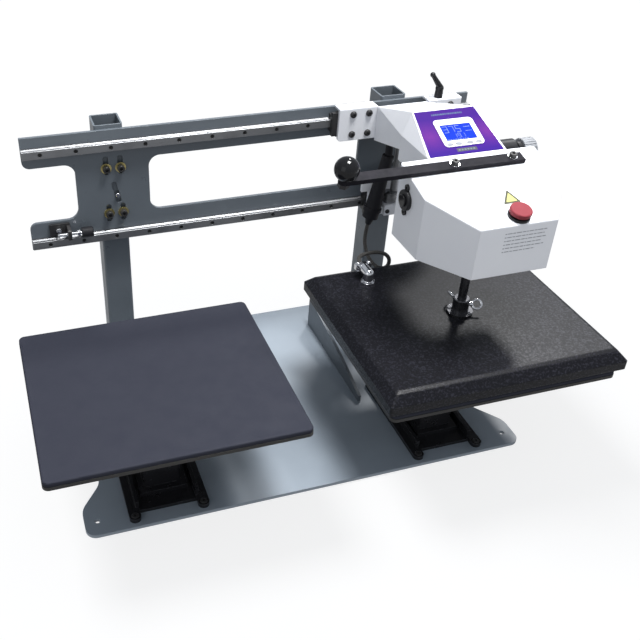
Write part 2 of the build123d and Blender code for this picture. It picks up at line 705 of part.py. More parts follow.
def clamp_lever():
    """Adjustable clamping lever: hub, rising arm and ball tip."""
    hub = Pos(370, 166, 500.3) * extrude(Circle(8), 16, taper=4)
    hub += rod((370, 166, 493), (0, 0, 1), 2.5, 10)
    elbow = Vector(370, 166, 520)
    tip = Vector(349, 161, 546)
    hub += Pos(370, 166, 517) * Sphere(7.6)
    hub += taper(tuple(elbow), tuple((tip - elbow).normalized()), 5.6, 3.8, (tip - elbow).length)
    hub += Pos(*tip) * Sphere(4.8)
    return hub


# ---------------------------------------------------------------- heated head
def press_shaft():
    """Round shaft that carries the heat platen."""
    x, y = SHAFT_AT
    bar = rod((x, y, SHROUD_Z[1]), (0, 0, 1), SHAFT_R, 217)
    return chamfer(bar.edges().group_by(Axis.Z)[-1], 0.8)


def shaft_collar():
    """Flanged collar that ties the shaft to the shroud."""
    x, y = SHAFT_AT
    z = SHROUD_Z[1]
    body = rod((x, y, z), (0, 0, 1), 22, 5)
    hub = rod((x, y, z + 5), (0, 0, 1), 14, 25)
    hub = chamfer(hub.edges().group_by(Axis.Z)[-1], 1.5)
    body += hub
    body -= rod((x, y, z - 1), (0, 0, 1), SHAFT_R, 40)
    for d in wing_directions():
        body -= rod((x, y, z + 18), d, 2.6, 30)
    return body


def wing_directions():
    """Which way each clamping screw points from the shaft."""
    return [(-0.08, 0.9968, 0), (0.9256, -0.3786, 0)]


def wing_bolt(d):
    """Thumb screw with a ring head, radial to the shaft."""
    centre = Vector(SHAFT_AT[0], SHAFT_AT[1], SHROUD_Z[1] + 18)
    direction = Vector(*d)
    body = rod(tuple(centre + direction * 8.0), d, 2.5, 10)
    body += rod(tuple(centre + direction * 14.5), d, 4.5, 4.5)
    side = direction.cross(Vector(0, 0, 1))
    normal = (side + Vector(0, 0, 1) * 0.9).normalized()
    ring = Plane(origin=tuple(centre + direction * 26.5), z_dir=tuple(normal)).location * Torus(8.0, 2.2)
    return body + ring


def heat_shroud():
    """Pressed pan over the heat platen: upright walls, sloping shoulders, mitred corners."""
    x, y = SHROUD_AT
    z0, z1 = SHROUD_Z
    t = SHEET

    def body(w, d, low, high, shoulder):
        bend = high - shoulder
        lip = Pos(x, y, bend) * RectangleRounded(w, d, SHROUD_CORNER)
        soft = Pos(x, y, high - SHOULDER_SOFT) * RectangleRounded(
            w - 2 * (shoulder - SHOULDER_SOFT * 1.6), d - 2 * (shoulder - SHOULDER_SOFT * 1.6), SHROUD_CORNER)
        top = Pos(x, y, high) * RectangleRounded(w - 2 * shoulder - SHOULDER_SOFT * 2,
                                                 d - 2 * shoulder - SHOULDER_SOFT * 2, SHROUD_CORNER)
        wall = extrude(Pos(x, y, low) * RectangleRounded(w, d, SHROUD_CORNER), bend - low)
        return wall + loft([lip, soft], ruled=True) + loft([soft, top], ruled=True)

    outer = body(SHROUD_W, SHROUD_D, z0, z1, SHOULDER)
    inner = body(SHROUD_W - 2 * t, SHROUD_D - 2 * t, z0 - 30, z1 - t, SHOULDER)
    return outer - inner


def heat_plate():
    """Heated casting with the bosses that hold it to the shroud."""
    x, y = SHROUD_AT
    plate = Pos(x, y, 198) * extrude(RectangleRounded(PLATEN_W, PLATEN_D - 4, 10), 16)
    for dx in (-140, 140):
        for dy in (-110, 110):
            plate += rod((x + dx, y + dy, 214), (0, 0, 1), 12, SHROUD_Z[1] - SHEET - 214)
    plate += rod((*SHAFT_AT, 214), (0, 0, 1), 30, SHROUD_Z[1] - SHEET - 214)
    return plate


ELBOW = Vector(175, -12, 253)
ELBOW_END = Vector(175, 18, 253)


def elbow_body():
    """Right-angle conduit fitting with its locknut and two clamp screws."""
    z = SHROUD_Z[1]
    x, y, zc = ELBOW.X, ELBOW.Y, ELBOW.Z
    body = hexagon((x, y, z), (0, 0, 1), 24, 4.5) + rod((x, y, z + 4.5), (0, 0, 1), 11.5, 2)
    body += rod((x, y, z + 6.5), (0, 0, 1), 9.5, 13.5) + Pos(x, y, zc) * Sphere(9.5)
    body += rod((x, y, zc), (0, 1, 0), 9.5, ELBOW_END.Y - y - 9)
    strap = block(x - 15, x + 15, ELBOW_END.Y - 9, ELBOW_END.Y, zc - 7.5, zc + 7.5)
    body += fillet(strap.edges().filter_by(Axis.Y), 4)
    for dx in (-10.5, 10.5):
        body += button_screw((x + dx, ELBOW_END.Y - 4.5, zc + 7.0), (0, 0, 1), 3.4, 3.0, 1.0, 0.5)
    return body - rod((x, ELBOW_END.Y - 14, zc), (0, 1, 0), CORD_R + 0.6, 20)


def cord_route():
    """Heater cord: down from the sleeve, round a free loop behind the shroud, into the elbow."""
    low, d = sleeve_axis()
    start = low - d * GLAND_DROP
    below = start - d * 29.4
    return [(start.X, start.Y, start.Z), (below.X, below.Y, below.Z), (233, 117, 213), (240, 99, 196), (250, 80, 194),
            (257, 66, 208), (254, 59, 231), (236, 54, 249), (211, 52, 255), (189, 50, 254), (175, 37.5, 253),
            (ELBOW_END.X, ELBOW_END.Y - 4, ELBOW_END.Z)]


def cord_radii(route):
    """The largest arc that each corner's shorter run allows."""
    radii = []
    for a, b, c in zip(route, route[1:], route[2:]):
        u, v = Vector(*b) - Vector(*a), Vector(*c) - Vector(*b)
        turn = math.radians(u.get_angle(v))
        radii.append(0.45 * min(u.length, v.length) / math.tan(turn / 2))
    return radii


def heater_cord():
    """Flexible lead, round in section."""
    route = cord_route()
    radii = cord_radii(route)
    path = FilletPolyline(*route, radius=radii)
    start = Plane(origin=route[0], z_dir=path % 0)
    cord = sweep(start * Circle(CORD_R), path=path)
    print("cord radii", [round(r, 1) for r in radii])
    print("cord length", round(path.length, 1), "volume ratio", round(cord.volume / (math.pi * CORD_R ** 2 * path.length), 4))
    return cord


# ---------------------------------------------------------------- write the pieces
save("base_plate", base_plate())
save("base_ribs", base_ribs())
save("post_left", post(POST_X[0]))
save("post_right", post(POST_X[1]))
save("rail_plate", rail_plate())
save("rail_upper", rail(RAIL_Z[0]))
save("rail_lower", rail(RAIL_Z[1]))
save("rail_screws", rail_screws())
save("web_bolts", web_bolts())
save("web_washers", web_washers())
save("plate_screws", plate_screws())
save("stop_bracket", stop_bracket())
save("stop_rod", stop_rod())
save("stop_bumper", stop_bumper())
save("pedestal_rails", pedestal_rails())
save("pedestal_screws", pedestal_screws())
save("pedestal_left", pedestal(STATION_X[0], PLATEN_AT[0][1]))
save("pedestal_right", pedestal(STATION_X[1], PLATEN_AT[1][1]))
save("platen_plate_left", platen_plate(PLATEN_AT[0]))
save("platen_plate_right", platen_plate(PLATEN_AT[1]))
save("platen_pad_left", platen_pad(PLATEN_AT[0]))
save("platen_pad_right", platen_pad(PLATEN_AT[1]))
save("bearing_blocks", bearing_blocks())
save("carriage_plate", carriage_plate())
save("carriage_screws", carriage_screws())
save("arm_cover", arm_cover())
save("arm_beam", arm_beam())
save("neck_box", neck_box())
save("hood", hood())
save("head_bushing", head_bushing())
save("console_overlay", console_overlay())
save("console_bezel", console_bezel())
save("lcd_screen", lcd_screen())
for number, place in enumerate(button_places(), 1):
    save("panel_button_%d" % number, panel_button(place))
save("handle_bar", handle_bar())
save("handle_washers", handle_washers())
save("handle_screws", handle_screws())
save("ball_knob", ball_knob())
save("estop_collar", estop_collar())
save("estop_button", estop_button())
save("start_housing", start_housing())
save("start_button", start_button())
save("lower_bracket", lower_bracket())
save("link_roller", link_roller())
save("lower_link", lower_link())
save("cord_sleeve", cord_sleeve())
save("regulator_body", regulator_body())
save("regulator_knob", regulator_knob())
save("clamp_lever", clamp_lever())
save("press_shaft", press_shaft())
save("shaft_collar", shaft_collar())
for number, way in enumerate(wing_directions(), 1):
    save("wing_bolt_%d" % number, wing_bolt(way))
save("heat_shroud", heat_shroud())
save("heat_plate", heat_plate())
save("elbow_body", elbow_body())
save("heater_cord", heater_cord())
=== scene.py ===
import bpy, bmesh, math
from mathutils import Vector, Matrix


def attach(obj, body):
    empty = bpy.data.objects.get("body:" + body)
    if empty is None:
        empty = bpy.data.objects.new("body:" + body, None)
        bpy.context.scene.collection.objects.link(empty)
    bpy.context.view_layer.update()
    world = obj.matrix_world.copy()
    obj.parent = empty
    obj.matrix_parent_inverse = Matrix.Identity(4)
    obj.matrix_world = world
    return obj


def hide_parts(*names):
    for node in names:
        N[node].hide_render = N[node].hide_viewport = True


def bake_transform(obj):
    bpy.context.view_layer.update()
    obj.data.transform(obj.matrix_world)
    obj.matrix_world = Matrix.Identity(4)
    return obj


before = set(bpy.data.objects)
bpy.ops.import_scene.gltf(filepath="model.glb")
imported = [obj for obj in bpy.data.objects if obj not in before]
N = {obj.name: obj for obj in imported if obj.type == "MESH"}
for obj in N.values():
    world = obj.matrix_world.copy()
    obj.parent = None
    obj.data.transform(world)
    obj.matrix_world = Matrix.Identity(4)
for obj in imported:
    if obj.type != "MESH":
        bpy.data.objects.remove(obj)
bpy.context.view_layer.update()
scene = bpy.context.scene

# All lengths are in metres unless a comment says mm: +X to the operator's right, +Y to the rear, +Z up.

# ------------------------------------------------------------------ places on the head
HEAD_ORIGIN = (-0.091, 0.508)          # edge between the console panel and the hood's top: y, z
PANEL_RISE = math.radians(22.7)        # console panel, rising to the rear
HOOD_FALL = math.radians(14.2)         # hood top, falling to the front
HOOD_FRONT = (-0.253, 0.381)           # lower edge of the hood's front face: y, z
DISPLAY_X, DISPLAY_Y = 0.2868, -0.050  # middle of the display

# ------------------------------------------------------------------ camera
CAMERA_AT = (-0.4465, -1.1696, 1.0705)
HEADING = math.radians(17.422)         # turned right of +Y
TILT = math.radians(34.037)            # looking down
ROLL = math.radians(0.893)             # counter-clockwise, seen from behind the camera

cam = bpy.data.objects.new("camera", bpy.data.cameras.new("camera"))
scene.collection.objects.link(cam)
cam.data.sensor_width = 36.0
cam.data.lens = 47.64
cam.data.shift_x = 0.1382
cam.data.shift_y = -0.0370
cam.data.clip_end = 30.0
cam.matrix_world = (Matrix.Translation(CAMERA_AT) @ Matrix.Rotation(-HEADING, 4, "Z")
                    @ Matrix.Rotation(math.pi / 2 - TILT, 4, "X") @ Matrix.Rotation(ROLL, 4, "Z"))
scene.camera = cam
scene.view_settings.view_transform = "Standard"


# ------------------------------------------------------------------ material helpers
class Tree:
    """A small builder around one material's nodes."""

    def __init__(self, name, **sockets):
        self.mat = bpy.data.materials.new(name)
        self.mat.use_nodes = True
        self.nt = self.mat.node_tree
        self.nt.nodes.clear()
        self.out = self.nt.nodes.new("ShaderNodeOutputMaterial")
        self.bsdf = self.nt.nodes.new("ShaderNodeBsdfPrincipled")
        self.nt.links.new(self.bsdf.outputs[0], self.out.inputs["Surface"])
        self.coord = self.nt.nodes.new("ShaderNodeTexCoord")
        for key, value in sockets.items():
            self.set(key.replace("_", " "), value)

    def set(self, key, value):
        socket = self.bsdf.inputs[key]
        if isinstance(value, (tuple, list)):
            socket.default_value = (*value, 1.0) if len(value) == 3 else value
        elif isinstance(value, (int, float)):
            socket.default_value = value
        else:
            self.nt.links.new(value, socket)

    def node(self, kind, inputs=(), **props):
        n = self.nt.nodes.new("ShaderNode" + kind)
        for key, value in props.items():
            setattr(n, key, value)
        for key, value in dict(inputs).items():
            if isinstance(value, bpy.types.NodeSocket):
                self.nt.links.new(value, n.inputs[key])
            elif isinstance(value, (tuple, list)) and n.inputs[key].type == "RGBA":
                n.inputs[key].default_value = (*value, 1.0) if len(value) == 3 else value
            else:
                n.inputs[key].default_value = value
        return n

    def stretch(self, scale):
        m = self.node("Mapping", {"Vector": self.coord.outputs["Object"]})
        m.inputs["Scale"].default_value = scale
        return m.outputs[0]

    def noise(self, scale, detail=3.0, rough=0.5, vector=None):
        n = self.node("TexNoise", {"Vector": vector or self.coord.outputs["Object"], "Scale": scale,
                                   "Detail": detail, "Roughness": rough})
        return n.outputs["Fac"]

    def ramp(self, fac, a, b, out0=0.0, out1=1.0):
        n = self.node("MapRange", {"Value": fac, "From Min": a, "From Max": b,
                                   "To Min": out0, "To Max": out1})
        return n.outputs[0]

    def mix(self, fac, a, b):
        n = self.nt.nodes.new("ShaderNodeMix")
        n.data_type = "RGBA"
        for socket, value in zip((n.inputs[0], n.inputs[6], n.inputs[7]), (fac, a, b)):
            if isinstance(value, bpy.types.NodeSocket):
                self.nt.links.new(value, socket)
            elif isinstance(value, (tuple, list)):
                socket.default_value = (*value, 1.0)
            else:
                socket.default_value = value
        return n.outputs[2]

    def math(self, op, a, b=0.0, clamp=False):
        n = self.nt.nodes.new("ShaderNodeMath")
        n.operation = op
        n.use_clamp = clamp
        for socket, value in zip(n.inputs, (a, b)):
            if isinstance(value, bpy.types.NodeSocket):
                self.nt.links.new(value, socket)
            else:
                socket.default_value = value
        return n.outputs[0]

    def edges(self, radius):
        """Rounded normal, and a mask that is bright on convex and concave edges."""
        bevel = self.node("Bevel", {"Radius": radius}, samples=4)
        true = self.node("NewGeometry")
        dot = self.node("VectorMath", operation="DOT_PRODUCT")
        self.nt.links.new(bevel.outputs[0], dot.inputs[0])
        self.nt.links.new(true.outputs["Normal"], dot.inputs[1])
        return bevel.outputs[0], self.ramp(dot.outputs["Value"], 0.995, 0.8)

    def bump(self, height, strength, distance, normal=None):
        n = self.node("Bump", {"Height": height, "Strength": strength, "Distance": distance})
        if normal is not None:
            self.nt.links.new(normal, n.inputs["Normal"])
        return n.outputs[0]


def painted(name, color, color2, rough, rough2, bump_scale, bump_mm, edge_mm=0.6, wear=None, wear_amount=0.0,
            patch=6.0, spec=0.5, detail=2.0):
    """Painted, coated or moulded surface: two tones in patches, roughness from rough to rough2, a fine
    texture bump_mm high, and softened edges, worn to the wear tone where one is given."""
    t = Tree(name)
    rounded, mask = t.edges(edge_mm / 1000)
    cloud = t.ramp(t.noise(patch, 4.0, 0.6), 0.35, 0.65)
    fine = t.noise(bump_scale, detail, 0.55)
    base = t.mix(cloud, color, color2)
    if wear is not None:
        rub = t.math("MULTIPLY", mask, t.ramp(t.noise(90.0, 3.0, 0.7), 0.45, 0.62), True)
        base = t.mix(t.math("MULTIPLY", rub, wear_amount, True), base, wear)
    t.set("Base Color", base)
    t.set("Roughness", t.ramp(t.noise(patch * 5, 5.0, 0.65), 0.3, 0.7, rough, rough2))
    t.set("Specular IOR Level", spec)
    t.set("Normal", t.bump(fine, 1.0, bump_mm / 1000, rounded))
    return t.mat


def metal(name, color, rough, rough2, grain=(4.0, 400.0, 400.0), bump_mm=0.01, edge_mm=0.4, dirt=0.15):
    """Bare metal with a directional grain and faint stains."""
    t = Tree(name, Metallic=1.0)
    rounded = t.edges(edge_mm / 1000)[0]
    streak = t.noise(1.0, 4.0, 0.6, t.stretch(grain))
    stain = t.ramp(t.noise(25.0, 4.0, 0.6), 0.45, 0.75)
    base = t.mix(t.math("MULTIPLY", stain, dirt), color, tuple(c * 0.45 for c in color))
    t.set("Base Color", t.mix(t.ramp(streak, 0.3, 0.7, 0.0, 0.35), base, tuple(c * 0.8 for c in color)))
    t.set("Roughness", t.ramp(streak, 0.3, 0.7, rough, rough2))
    t.set("Normal", t.bump(streak, 1.0, bump_mm / 1000, rounded))
    return t.mat


# ------------------------------------------------------------------ materials
grey_paint = painted("grey_paint", (0.128, 0.148, 0.168), (0.112, 0.129, 0.147), 0.26, 0.42, 700.0, 0.02,
                     edge_mm=0.9, wear=(0.32, 0.33, 0.35), wear_amount=0.5, patch=5.0)
# Base plate: the same grey paint, painted lighter as a lit copy for the light falling on its top: painted
# light.
top_lit_grey_paint = painted("grey_paint_painted_lit_base", (0.30, 0.345, 0.395), (0.255, 0.295, 0.34), 0.28, 0.44, 700.0, 0.02,
                     edge_mm=0.9, wear=(0.36, 0.37, 0.39), wear_amount=0.5, patch=4.0)
white_powder = painted("white_powder", (0.80, 0.81, 0.84), (0.77, 0.78, 0.82), 0.40, 0.52, 900.0, 0.035,
                       edge_mm=1.4, wear=(0.9, 0.9, 0.92), wear_amount=0.4, patch=7.0)
black_gloss = painted("black_gloss_paint", (0.010, 0.010, 0.012), (0.016, 0.016, 0.018), 0.16, 0.30, 500.0,
                      0.02, edge_mm=0.8, wear=(0.12, 0.12, 0.13), wear_amount=0.7)
black_paint = painted("black_paint", (0.020, 0.019, 0.018), (0.028, 0.026, 0.024), 0.40, 0.55, 900.0, 0.03,
                      edge_mm=0.8, wear=(0.10, 0.09, 0.07), wear_amount=0.8)
black_steel = painted("black_steel", (0.020, 0.020, 0.022), (0.035, 0.034, 0.034), 0.30, 0.45, 1500.0, 0.01,
                      edge_mm=0.35, wear=(0.18, 0.18, 0.18), wear_amount=0.5, patch=60.0, spec=0.35)
black_plastic = painted("black_plastic", (0.008, 0.008, 0.010), (0.013, 0.013, 0.015), 0.34, 0.48, 2500.0,
                        0.012, edge_mm=0.4, patch=40.0, spec=0.35)
black_rubber = painted("black_rubber", (0.007, 0.007, 0.010), (0.012, 0.012, 0.015), 0.50, 0.68, 1800.0, 0.03,
                       edge_mm=0.5, patch=30.0, spec=0.25)
phenolic = painted("black_phenolic", (0.006, 0.006, 0.007), (0.009, 0.009, 0.010), 0.05, 0.12, 600.0, 0.002,
                   edge_mm=0.4, patch=50.0, spec=0.3)
bar_coat = painted("black_textured", (0.009, 0.009, 0.012), (0.015, 0.014, 0.019), 0.50, 0.66, 520.0, 0.12,
                   edge_mm=0.7, wear=(0.12, 0.12, 0.13), wear_amount=0.7, patch=30.0, detail=4.0, spec=0.10)
white_plastic = painted("white_plastic", (0.84, 0.85, 0.88), (0.82, 0.83, 0.86), 0.34, 0.44, 1800.0, 0.006,
                        edge_mm=0.4, patch=60.0)
key_grey = painted("key_grey", (0.25, 0.26, 0.29), (0.21, 0.22, 0.25), 0.42, 0.55, 2200.0, 0.01,
                   edge_mm=0.3, patch=90.0)
grey_plastic = painted("grey_plastic", (0.30, 0.31, 0.33), (0.25, 0.26, 0.28), 0.36, 0.50, 1800.0, 0.015,
                       edge_mm=0.4, patch=50.0)
red_plastic = painted("red_plastic", (0.26, 0.040, 0.052), (0.23, 0.034, 0.045), 0.45, 0.58, 1500.0, 0.01,
                      edge_mm=0.5, patch=40.0, spec=0.15)
rail_steel = metal("rail_steel", (0.30, 0.305, 0.315), 0.40, 0.55, dirt=0.5)
bright_steel = metal("bright_steel", (0.80, 0.80, 0.81), 0.10, 0.22, grain=(300.0, 300.0, 300.0),
                     bump_mm=0.004)
dark_steel = metal("dark_steel", (0.16, 0.16, 0.17), 0.20, 0.34, grain=(300.0, 300.0, 40.0))
chrome = metal("chrome", (0.88, 0.88, 0.90), 0.04, 0.12, grain=(120.0, 120.0, 120.0), bump_mm=0.01, dirt=0.25)
zinc = metal("zinc_yellow", (0.74, 0.62, 0.26), 0.22, 0.38, grain=(200.0, 200.0, 200.0), bump_mm=0.01,
             dirt=0.4)
cast = metal("cast_aluminium", (0.42, 0.42, 0.42), 0.40, 0.60, grain=(250.0, 250.0, 250.0), bump_mm=0.08)


def wrinkle_coat():
    """Black wrinkle enamel: fine raised grain, and glossier specks that sparkle a little, painted paler as
    painted glints.
    """
    t = Tree("black_wrinkle")
    rounded, mask = t.edges(0.0035)
    cells = t.noise(620.0, 2.0, 0.55)
    height = t.math("ADD", t.ramp(cells, 0.35, 0.68), t.math("MULTIPLY", t.noise(1500.0, 2.0), 0.4))
    base = t.mix(t.ramp(cells, 0.4, 0.65), (0.0015, 0.0015, 0.003), (0.005, 0.005, 0.008))
    # Specks painted paler in the base colour: painted glints of the coat's sparkle, beside their real lower
    # roughness.
    speck = t.ramp(t.noise(290.0, 2.0, 0.6), 0.52, 0.62)
    base = t.mix(t.math("MULTIPLY", speck, 0.8), base, (0.024, 0.024, 0.032))
    rub = t.math("MULTIPLY", mask, t.ramp(t.noise(45.0, 4.0, 0.7), 0.56, 0.66), True)
    t.set("Base Color", t.mix(t.math("MULTIPLY", rub, 0.5, True), base, (0.25, 0.25, 0.27)))
    t.set("Roughness", t.ramp(t.noise(290.0, 2.0, 0.6), 0.40, 0.62, 0.44, 0.28))
    t.set("Specular IOR Level", 0.26)
    t.set("Normal", t.bump(height, 1.0, 0.00005, rounded))
    return t.mat


def silicone():
    """Charcoal pad: fine-grained rubber with clouds of dust and a faint larger unevenness."""
    t = Tree("silicone_pad")
    dust = t.ramp(t.noise(14.0, 8.0, 0.75), 0.3, 0.8)
    speck = t.ramp(t.noise(1500.0, 2.0, 0.6), 0.55, 0.8)
    base = t.mix(t.math("MULTIPLY", dust, 0.5), (0.023, 0.025, 0.037), (0.029, 0.031, 0.044))
    t.set("Base Color", t.mix(t.math("MULTIPLY", speck, 0.35), base, (0.060, 0.063, 0.080)))
    t.set("Roughness", t.ramp(t.noise(30.0, 4.0), 0.3, 0.7, 0.60, 0.78))
    t.set("Specular IOR Level", 0.16)
    grain = t.math("ADD", t.noise(1300.0, 3.0, 0.6), t.math("MULTIPLY", t.noise(35.0, 3.0), 1.5))
    t.set("Normal", t.bump(grain, 1.0, 0.00008))
    return t.mat


def cord_jacket():
    """Heat-proof jacket: a fine, uneven fibre texture in two tones."""
    t = Tree("cord_jacket")
    weave = t.noise(1.0, 2.0, 0.5, t.stretch((900.0, 900.0, 900.0)))
    t.set("Base Color", t.mix(t.ramp(weave, 0.35, 0.65), (0.030, 0.028, 0.026), (0.075, 0.070, 0.064)))
    t.set("Roughness", 0.62)
    t.set("Normal", t.bump(weave, 1.0, 0.0002))
    return t.mat


def film():
    """Printed overlay: violet with a magenta glow either side of the display, fading to the corners."""
    t = Tree("overlay_film")
    xyz = t.node("SeparateXYZ", {"Vector": t.coord.outputs["Object"]})
    x, y = xyz.outputs[0], xyz.outputs[1]
    across = t.math("ABSOLUTE", t.math("SUBTRACT", x, DISPLAY_X))
    along = t.math("ABSOLUTE", t.math("SUBTRACT", y, DISPLAY_Y))
    side = t.ramp(across, 0.010, 0.062)
    near = t.ramp(along, 0.034, 0.0)
    glow = t.math("MULTIPLY", t.math("MULTIPLY", side, near), t.ramp(across, 0.085, 0.05), True)
    grain = t.noise(240.0, 5.0, 0.7)
    deep = t.mix(t.ramp(y, HEAD_ORIGIN[0], 0.0), (0.034, 0.010, 0.185), (0.040, 0.009, 0.16))
    lit = t.mix(t.math("MULTIPLY", glow, t.ramp(grain, 0.2, 0.9, 0.6, 1.0), True), deep, (0.155, 0.026, 0.20))
    t.set("Base Color", lit)
    t.set("Roughness", t.ramp(grain, 0.3, 0.7, 0.42, 0.52))
    t.set("Specular IOR Level", 0.04)
    t.set("Normal", t.bump(t.noise(1800.0, 2.0), 1.0, 0.000006))
    return t.mat


def display():
    """Backlit window: saturated blue with a fine pixel grid and a slightly uneven glow."""
    t = Tree("display")
    xyz = t.node("SeparateXYZ", {"Vector": t.coord.outputs["Object"]})
    rate = 9000.0                      # radians per metre: squares of about 0.35 mm
    grid = t.math("MULTIPLY", t.math("SINE", t.math("MULTIPLY", xyz.outputs[0], rate)),
                  t.math("SINE", t.math("MULTIPLY", xyz.outputs[1], rate)))
    level = t.ramp(grid, -1.0, 1.0, 0.86, 1.0)
    spread = t.ramp(t.noise(40.0, 2.0), 0.3, 0.7, 0.85, 1.1)
    t.set("Base Color", (0.004, 0.012, 0.10))
    t.set("Emission Color", t.mix(level, (0.006, 0.035, 0.62), (0.010, 0.050, 0.80)))
    t.set("Emission Strength", spread)
    t.set("Roughness", 0.3)
    t.set("Specular IOR Level", 0.03)
    return t.mat


wrinkle = wrinkle_coat()
pad_rubber = silicone()
jacket = cord_jacket()
overlay = film()
lcd = display()

LOOKS = {
    top_lit_grey_paint: ("base_plate",),
    grey_paint: ("base_ribs", "post_left", "post_right", "rail_plate", "arm_beam"),
    rail_steel: ("rail_upper", "rail_lower", "link_roller", "lower_link"),
    black_steel: ("rail_screws", "web_bolts", "stop_bracket", "pedestal_screws", "bearing_blocks",
                  "carriage_screws", "handle_screws"),
    zinc: ("web_washers",),
    bright_steel: ("plate_screws", "stop_rod", "head_bushing", "handle_washers"),
    dark_steel: ("press_shaft", "shaft_collar"),
    black_rubber: ("stop_bumper", "cord_sleeve"),
    black_gloss: ("pedestal_rails", "pedestal_left", "pedestal_right"),
    black_paint: ("platen_plate_left", "platen_plate_right"),
    white_powder: ("carriage_plate", "arm_cover", "neck_box", "hood", "lower_bracket"),
    overlay: ("console_overlay",),
    white_plastic: ("console_bezel",),
    lcd: ("lcd_screen",),
    key_grey: ("panel_button_1", "panel_button_2", "panel_button_3", "panel_button_4"),
    bar_coat: ("handle_bar",),
    phenolic: ("ball_knob", "start_button"),
    black_plastic: ("estop_collar", "start_housing", "regulator_body", "clamp_lever"),
    red_plastic: ("estop_button",),
    grey_plastic: ("regulator_knob",),
    wrinkle: ("heat_shroud",),
    cast: ("heat_plate",),
    chrome: ("elbow_body", "wing_bolt_1", "wing_bolt_2"),
    pad_rubber: ("platen_pad_left", "platen_pad_right"),
    jacket: ("heater_cord",),
}
for material, names in LOOKS.items():
    for name in names:
        node = N[name]
        if node.data.materials:
            for k in range(len(node.data.materials)):
                node.data.materials[k] = material
        else:
            node.data.materials.append(material)


# ------------------------------------------------------------------ pieces
def add(name, bm, material, smooth=True):
    mesh = bpy.data.meshes.new(name)
    bm.normal_update()
    bm.to_mesh(mesh)
    bm.free()
    mesh.materials.append(material)
    for p in mesh.polygons:
        p.use_smooth = smooth
    obj = bpy.data.objects.new(name, mesh)
    scene.collection.objects.link(obj)
    return obj


PAD_SIZE = (0.4064, 0.3556, 0.0080)    # 16 x 14 in, 8 mm thick
PAD_BOTTOM = 0.1886
PAD_MARGIN = 0.0004                    # left free inside the CAD pad's outline
PAD_CORNER, LEAST_CORNER = 0.010, 0.0006
FIELD_DROP = 0.0004                    # the field of the top lies this far below its rim
FIELD_INSETS = (0.006, 0.012, 0.022, 0.036, 0.055, 0.080, 0.110, 0.140, 0.165)
CORNER_STEPS = 20                      # points round each corner, and as many along each side
CORNER_SIGNS = ((1, -1), (1, 1), (-1, 1), (-1, -1))


def rounded_rectangle(half_x, half_y, radius):
    """Points going round a rectangle with rounded corners, about its middle."""
    ring = []
    for quarter, (sx, sy) in enumerate(CORNER_SIGNS):
        next_x, next_y = CORNER_SIGNS[(quarter + 1) % 4]
        from_x, from_y = sx * (half_x - radius), sy * (half_y - radius)
        to_x, to_y = next_x * (half_x - radius), next_y * (half_y - radius)
        for k in range(CORNER_STEPS):
            a = (quarter - 1 + k / CORNER_STEPS) * math.pi / 2
            ring.append((from_x + radius * math.cos(a), from_y + radius * math.sin(a)))
        a = quarter * math.pi / 2
        for k in range(CORNER_STEPS):
            g = k / CORNER_STEPS
            ring.append((from_x + (to_x - from_x) * g + radius * math.cos(a),
                         from_y + (to_y - from_y) * g + radius * math.sin(a)))
    return ring


def pad(name, cx, cy, node, seed):
    """Moulded pad: rolled edge, rounded corners, and a top whose field lies just below its rim, with a faint
    crown and unevenness from use."""
    width, depth, thick = PAD_SIZE
    half_x, half_y = width / 2 - PAD_MARGIN, depth / 2 - PAD_MARGIN
    bm = bmesh.new()

    def field(x, y):
        """Height of the top's field above the pad's bottom."""
        u, v = x / half_x, y / half_y
        swell = 0.00045 * (1 - u * u) * (1 - v * v)
        wave = 0.00010 * math.sin(9 * u + seed) * math.sin(7 * v + 2 * seed)
        wave += 0.00007 * math.sin(23 * u * v + seed)
        return thick + swell + wave * (1 - max(abs(u), abs(v)) ** 6) - FIELD_DROP

    def ring(inset, height):
        around = rounded_rectangle(half_x - inset, half_y - inset, max(PAD_CORNER - inset, LEAST_CORNER))
        return [bm.verts.new((cx + x, cy + y, PAD_BOTTOM + height(x, y))) for x, y in around]

    side = [(0.0006, 0.0), (0.0, 0.0006), (0.0, thick * 0.45), (0.0, thick - 0.0026),
            (0.0003, thick - 0.0014), (0.0009, thick - 0.0006), (0.0018, thick - 0.0002), (0.0030, thick)]
    rings = [ring(inset, lambda x, y, z=z: z) for inset, z in side]
    rings += [ring(inset, field) for inset in FIELD_INSETS]
    for a, b in zip(rings, rings[1:]):
        n = len(a)
        for k in range(n):
            bm.faces.new((a[k], a[(k + 1) % n], b[(k + 1) % n], b[k]))
    bm.faces.new(rings[-1])
    bm.faces.new(list(reversed(rings[0])))
    obj = add(name, bm, pad_rubber, True)
    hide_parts(node)
    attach(obj, "frame")


for side, cx, cy, seed in (("left", -0.244, -0.132, 0.7), ("right", 0.286, -0.140, 2.1)):
    pad("pad_" + side, cx, cy, "platen_pad_" + side, seed)


# ------------------------------------------------------------------ printed and lit marks
# Bottom and top of each kind of mark, in mm above the face that it lies on
ON_SCREEN = (1.12, 1.20)
ON_FILM = (0.52, 0.58)
STRIP = (0.52, 0.60)
ON_STRIP = (0.62, 0.68)
SIGN_BORDER = (0.10, 0.34)
SIGN_FIELD = (0.35, 0.44)
ON_FRONT = (0.04, 0.10)


def glyph_plate(bm, place, corners, low, high):
    """Thin plate on a sloping face: corners are (x, s) pairs going round, low and high its heights."""
    bottom = [bm.verts.new(place(x, s, low)) for x, s in corners]
    top = [bm.verts.new(place(x, s, high)) for x, s in corners]
    n = len(corners)
    faces = [top, bottom[::-1]]
    faces += [(bottom[k], bottom[(k + 1) % n], top[(k + 1) % n], top[k]) for k in range(n)]
    made = [bm.faces.new(f) for f in faces]
    bmesh.ops.recalc_face_normals(bm, faces=made)


def bar_of(bm, place, x0, s0, x1, s1, low, high, lean=0.0):
    glyph_plate(bm, place, [(x0, s0), (x1, s0), (x1 + lean, s1), (x0 + lean, s1)], low, high)


